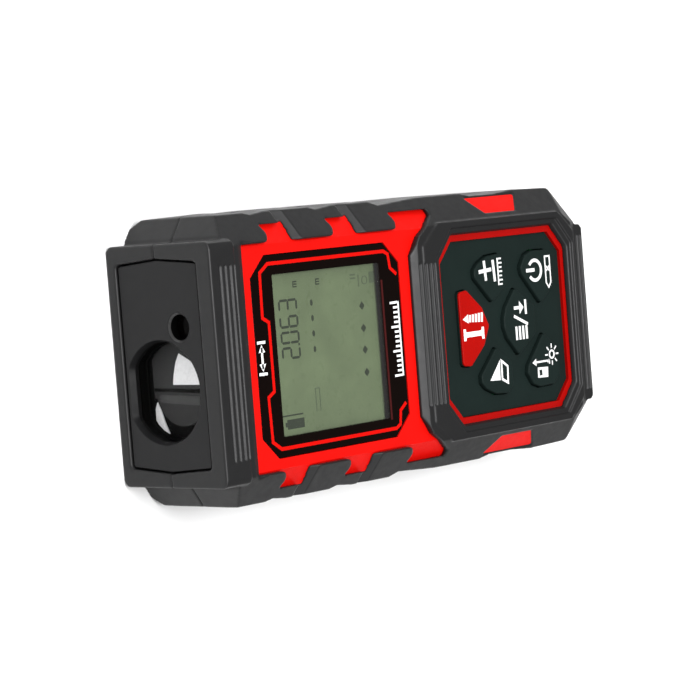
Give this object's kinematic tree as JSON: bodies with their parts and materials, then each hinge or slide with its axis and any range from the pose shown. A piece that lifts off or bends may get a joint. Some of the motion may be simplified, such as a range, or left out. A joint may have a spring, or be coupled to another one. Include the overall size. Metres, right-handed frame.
{
  "type": "laser distance meter",
  "caption": "Hand-held laser distance meter with a display, a keypad, a laser outlet and a receiver lens, in a rubber-armoured case with a hinged battery door.",
  "frame": {"origin": "centre of the footprint, on the surface the meter lies on", "axes": "+Z out of the display, +Y towards the laser end, +X to the right of a reader who holds the laser end up"},
  "size_m": [0.0572, 0.118, 0.0283],
  "materials": {
    "red_shell": "satin moulded ABS",
    "rubber": "matt overmoulded rubber",
    "nose_black": "matt black moulding",
    "window_black": "gloss black border, clear middle",
    "gasket_foam": "closed-cell foam",
    "lcd": "grey-green reflective display",
    "white_plastic": "white light guide",
    "zebra_strip": "elastomer connector",
    "key_rubber": "silicone, near black",
    "key_red": "silicone, red",
    "dome_metal": "stainless dome",
    "board_green": "solder mask",
    "chip_black": "epoxy package",
    "ceramic": "ceramic chips",
    "screw_steel": "zinc plated",
    "screw_black": "black oxide",
    "optic_black": "glass-filled, matt",
    "lens_glass": "coated",
    "brass": "turned",
    "gold_can": "gold plated",
    "red_window": "tinted",
    "cell_jacket": "printed sleeve, blank",
    "spring_steel": "nickel plated",
    "label_silver": "blank satin film"
  },
  "bodies": {
    "housing": {"front_shell": "red_shell", "rear_shell": "red_shell", "front_overmould": "rubber", "rear_overmould": "rubber", "nose_plate": "nose_black", "display_window": "window_black", "window_gasket": "gasket_foam", "lcd_glass": "lcd", "lcd_backlight": "white_plastic", "lcd_frame": "white_plastic", "lcd_connector": "zebra_strip", "keypad_mat": "key_rubber", "key_domes": "dome_metal", "main_board": "board_green", "board_chips": "chip_black", "board_passives": "ceramic", "board_screws": "screw_steel", "buzzer": "chip_black", "optics_block": "optic_black", "receiver_lens": "lens_glass", "lens_ring": "optic_black", "photodiode": "gold_can", "photodiode_board": "board_green", "board_link_pins": "gold_can", "laser_barrel": "brass", "collimator_lens": "lens_glass", "laser_diode": "gold_can", "emitter_window": "red_window", "optics_screws": "screw_steel", "battery_cell_left": "cell_jacket", "battery_cell_right": "cell_jacket", "battery_springs": "spring_steel", "front_contacts": "spring_steel", "rear_contact": "spring_steel", "housing_screws": "screw_black", "rating_label": "label_silver"},
    "measure_key": {"measure_key": "key_red"},
    "units_key": {"units_key": "key_rubber"},
    "power_key": {"power_key": "key_rubber"},
    "memory_key": {"memory_key": "key_rubber"},
    "area_key": {"area_key": "key_rubber"},
    "reference_key": {"reference_key": "key_rubber"},
    "battery_door": {"battery_door": "red_shell"}
  },
  "joints": [
    {"name": "measure_key_press", "type": "slide", "parent": "housing", "child": "measure_key", "axis": [0, 0, -1], "range_m": [0, 0.0006], "stiffness_N_per_m": 1000, "springref_m": -0.0003},
    {"name": "units_key_press", "type": "slide", "parent": "housing", "child": "units_key", "axis": [0, 0, -1], "range_m": [0, 0.0006], "stiffness_N_per_m": 1000, "springref_m": -0.0003},
    {"name": "power_key_press", "type": "slide", "parent": "housing", "child": "power_key", "axis": [0, 0, -1], "range_m": [0, 0.0006], "stiffness_N_per_m": 1000, "springref_m": -0.0003},
    {"name": "memory_key_press", "type": "slide", "parent": "housing", "child": "memory_key", "axis": [0, 0, -1], "range_m": [0, 0.0006], "stiffness_N_per_m": 1000, "springref_m": -0.0003},
    {"name": "area_key_press", "type": "slide", "parent": "housing", "child": "area_key", "axis": [0, 0, -1], "range_m": [0, 0.0006], "stiffness_N_per_m": 1000, "springref_m": -0.0003},
    {"name": "reference_key_press", "type": "slide", "parent": "housing", "child": "reference_key", "axis": [0, 0, -1], "range_m": [0, 0.0006], "stiffness_N_per_m": 1000, "springref_m": -0.0003},
    {"name": "battery_door_hinge", "type": "hinge", "parent": "housing", "child": "battery_door", "pos_m": [0, -0.0508, 0.0026], "axis": [-1, 0, 0], "range_deg": [0, 75]}
  ]
}
